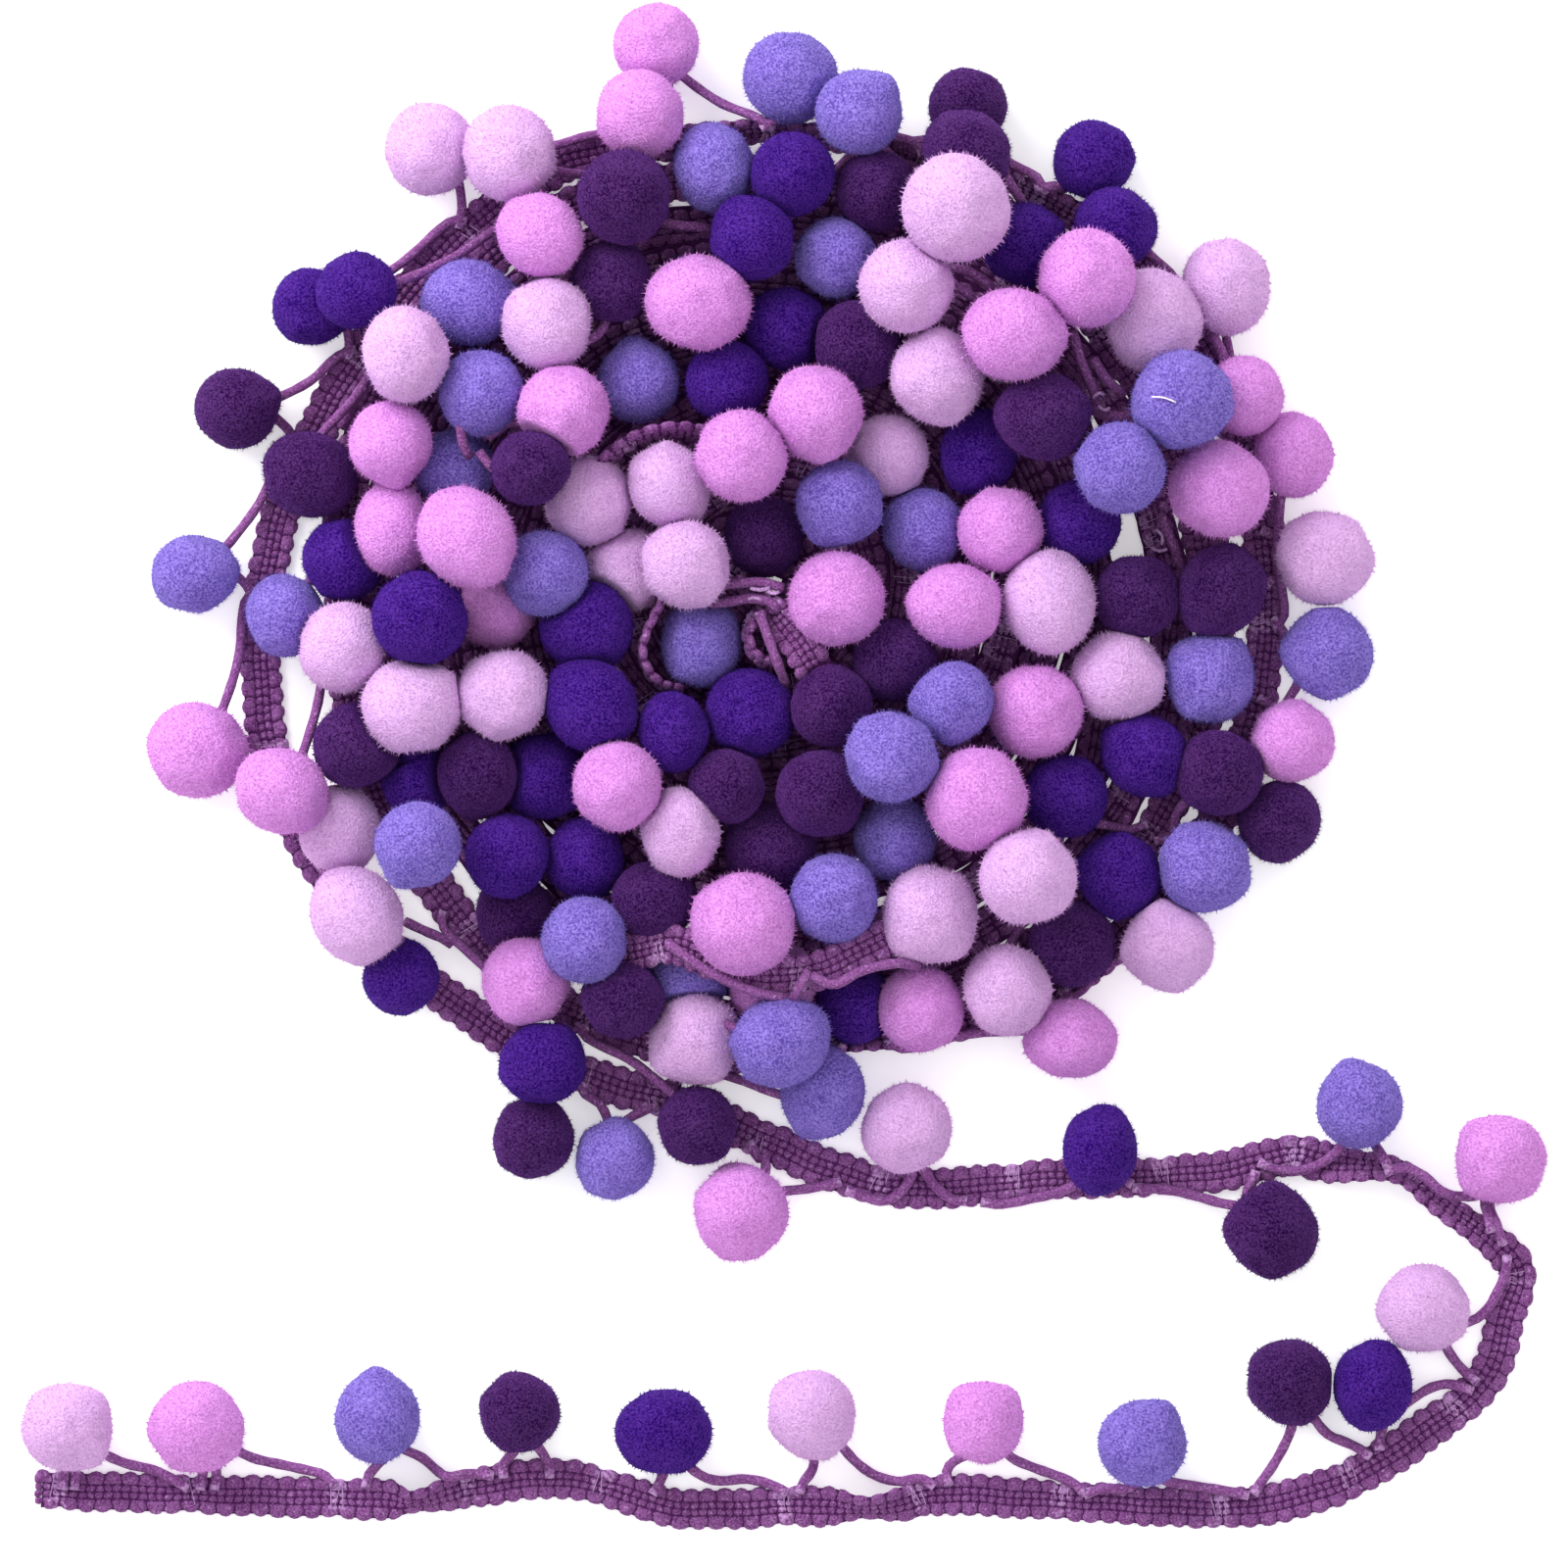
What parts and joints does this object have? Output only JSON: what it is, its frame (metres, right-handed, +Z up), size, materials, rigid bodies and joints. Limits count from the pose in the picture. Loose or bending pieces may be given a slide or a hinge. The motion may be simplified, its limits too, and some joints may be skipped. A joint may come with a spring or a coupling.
{
  "type": "pompom fringe trim",
  "caption": "Braided heading tape with a zigzag drop cord of fuzzy round pompoms, thrown down as a heaped coil with a loose tail.",
  "frame": {"origin": "the middle of the wound coil, on the surface that the trim lies on", "axes": "+Z up from that surface; the tail's two long runs lie along X, the tail's bend towards +X and its free end towards -X, and the tail lies on the -Y side of the coil"},
  "size_m": [0.3255, 0.3276, 0.0454],
  "materials": {
    "heading_tape": "braided mauve yarn with scalloped edges",
    "drop_cord": "soft felted mauve cord",
    "pile_light_lilac": "dense velour pile",
    "pile_orchid": "dense velour pile",
    "pile_periwinkle": "dense velour pile",
    "pile_dark_plum": "dense velour pile",
    "pile_royal_violet": "dense velour pile"
  },
  "bodies": {
    "root": {"drop_cord": "drop_cord", "heading_tape": "heading_tape", "pompom_01": "pile_light_lilac", "pompom_02": "pile_orchid", "pompom_03": "pile_periwinkle", "pompom_04": "pile_dark_plum", "pompom_05": "pile_royal_violet", "pompom_06": "pile_light_lilac", "pompom_07": "pile_orchid", "pompom_08": "pile_periwinkle", "pompom_09": "pile_dark_plum", "pompom_10": "pile_royal_violet", "pompom_11": "pile_light_lilac", "pompom_12": "pile_orchid", "pompom_13": "pile_periwinkle", "pompom_14": "pile_dark_plum", "pompom_15": "pile_royal_violet", "pompom_16": "pile_light_lilac", "pompom_17": "pile_orchid", "pompom_18": "pile_periwinkle", "pompom_19": "pile_dark_plum", "pompom_20": "pile_royal_violet", "pompom_21": "pile_light_lilac", "pompom_22": "pile_orchid", "pompom_23": "pile_periwinkle", "pompom_24": "pile_dark_plum", "pompom_25": "pile_royal_violet", "pompom_26": "pile_light_lilac", "pompom_27": "pile_orchid", "pompom_28": "pile_periwinkle", "pompom_29": "pile_dark_plum", "pompom_30": "pile_royal_violet", "pompom_31": "pile_light_lilac", "pompom_32": "pile_orchid", "pompom_33": "pile_periwinkle", "pompom_34": "pile_dark_plum", "pompom_36": "pile_light_lilac", "pompom_37": "pile_orchid", "pompom_38": "pile_periwinkle", "pompom_39": "pile_dark_plum", "pompom_40": "pile_royal_violet", "pompom_41": "pile_light_lilac", "pompom_42": "pile_orchid", "pompom_45": "pile_royal_violet", "pompom_46": "pile_light_lilac", "pompom_50": "pile_royal_violet", "pompom_52": "pile_orchid", "pompom_54": "pile_dark_plum", "pompom_76": "pile_light_lilac", "pompom_77": "pile_orchid", "pompom_78": "pile_periwinkle", "wound_coil": "heading_tape"}
  },
  "joints": []
}
